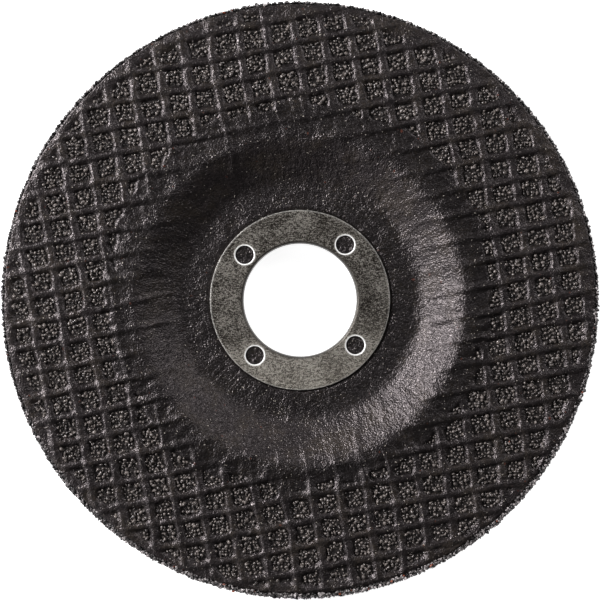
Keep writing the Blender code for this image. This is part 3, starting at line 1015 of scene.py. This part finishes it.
def stage_material():
    """A white floor that keeps the object's shadow, and is bright to the camera and in gloss."""
    material, nodes, links, shader = new_material("white_floor")
    shader.inputs["Base Color"].default_value = (0.8, 0.8, 0.8, 1.0)
    shader.inputs["Roughness"].default_value = 0.9
    glow = nodes.new("ShaderNodeEmission")
    path = nodes.new("ShaderNodeLightPath")
    seen = nodes.new("ShaderNodeMath")
    seen.operation = "MAXIMUM"
    links.new(path.outputs["Is Camera Ray"], seen.inputs[0])
    links.new(path.outputs["Is Glossy Ray"], seen.inputs[1])
    level = nodes.new("ShaderNodeMath")
    level.operation = "MULTIPLY"
    level.inputs[1].default_value = FLOOR_GLOW
    links.new(seen.outputs[0], level.inputs[0])
    links.new(level.outputs[0], glow.inputs["Strength"])
    both = nodes.new("ShaderNodeAddShader")
    links.new(shader.outputs[0], both.inputs[0])
    links.new(glow.outputs[0], both.inputs[1])
    links.new(both.outputs[0], nodes["Material Output"].inputs["Surface"])
    return material


def area_light(name, azimuth, elevation, distance, size, power):
    data = bpy.data.lights.new(name, "AREA")
    data.shape = "RECTANGLE"
    data.size, data.size_y = size
    data.energy = power
    lamp = bpy.data.objects.new(name, data)
    bpy.context.scene.collection.objects.link(lamp)
    a, e = math.radians(azimuth), math.radians(elevation)
    toward = Vector((math.cos(a) * math.cos(e), math.sin(a) * math.cos(e), math.sin(e)))
    lamp.location = toward * distance + Vector((0, 0, RIM_FRONT))
    lamp.rotation_euler = toward.to_track_quat("Z", "Y").to_euler()


def stage():
    """Floor, world, lamps and camera."""
    bm = bmesh.new()
    bmesh.ops.create_grid(bm, x_segments=1, y_segments=1, size=3.0)
    floor = mesh_object("floor", bm)
    floor.data.materials.append(stage_material())
    scene = bpy.context.scene
    world = bpy.data.worlds.new("studio")
    world.use_nodes = True
    nodes, links = world.node_tree.nodes, world.node_tree.links
    background = nodes["Background"]
    background.inputs["Color"].default_value = (1.0, 1.0, 1.0, 1.0)
    path = nodes.new("ShaderNodeLightPath")
    level = nodes.new("ShaderNodeMapRange")
    level.inputs["To Min"].default_value = WORLD_LEVEL
    level.inputs["To Max"].default_value = 1.0
    links.new(path.outputs["Is Camera Ray"], level.inputs["Value"])
    links.new(level.outputs["Result"], background.inputs["Strength"])
    scene.world = world
    for lamp in LAMPS:
        area_light(*lamp)
    camera_data = bpy.data.cameras.new("camera")
    camera_data.lens = CAMERA_LENS_MM
    camera_data.clip_start = 0.01
    camera = bpy.data.objects.new("camera", camera_data)
    scene.collection.objects.link(camera)
    camera.location = (0.0, 0.0, RIM_FRONT + CAMERA_DISTANCE)
    scene.camera = camera
    scene.view_settings.view_transform = "Standard"


def main():
    felt = felt_group()
    grain = grain_group()
    resin = resin_material(felt)
    grit = grit_material("bed_grit", grain, (0.016, 0.0135, 0.013), (0.115, 0.098, 0.09), 0.33, 0.24, 1.0)
    # The rim grit's light colour, on its few pale grains, is a painted glint
    rim = grit_material("rim_grit", grain, (0.003, 0.003, 0.003), (0.38, 0.345, 0.345), 0.42, 0.24, 2.0)
    steel = steel_material(felt)
    front = skin(
        "net_front",
        front_line(FRONT_SKIN_INNER, DISH_PITCH, FRONT_BAND_PITCH),
        front_line(FRONT_SKIN_INNER, HIDDEN_PITCH, HIDDEN_PITCH),
        FRONT_NET, 1, FRONT_STEPS,
    )
    back = skin(
        "net_back",
        back_line(BACK_SKIN_INNER, DISH_PITCH, BACK_BAND_PITCH),
        back_line(BACK_SKIN_INNER, HIDDEN_PITCH, HIDDEN_PITCH),
        BACK_NET, -1, BACK_STEPS,
    )
    front_grit = face_grit("front_grit", FRONT_NET, 1, RIM_FRONT, GRAIN_PITCH, GRAIN_RADIUS, 21)
    back_grit = face_grit("back_grit", BACK_NET, -1, RIM_BACK, GRAIN_PITCH * 1.2, GRAIN_RADIUS * 1.15, 61)
    rim_grains = rim_grit(31)
    core = body()
    pegs = resin_pegs()
    ring = pressed_ring()
    for obj, material in (
        (front, resin), (back, resin), (front_grit, grit), (back_grit, grit), (rim_grains, rim), (core, grit),
        (pegs, resin),
    ):
        wear(obj, material, "abrasive_disc")
    wear(ring, steel, "centre_ring")
    flat_map(front, 1)
    flat_map(back, -1)
    for obj in (front, back, front_grit, back_grit, rim_grains, core, pegs, ring):
        print(obj.name, sum(len(face.vertices) - 2 for face in obj.data.polygons), "triangles")
    stage()


main()
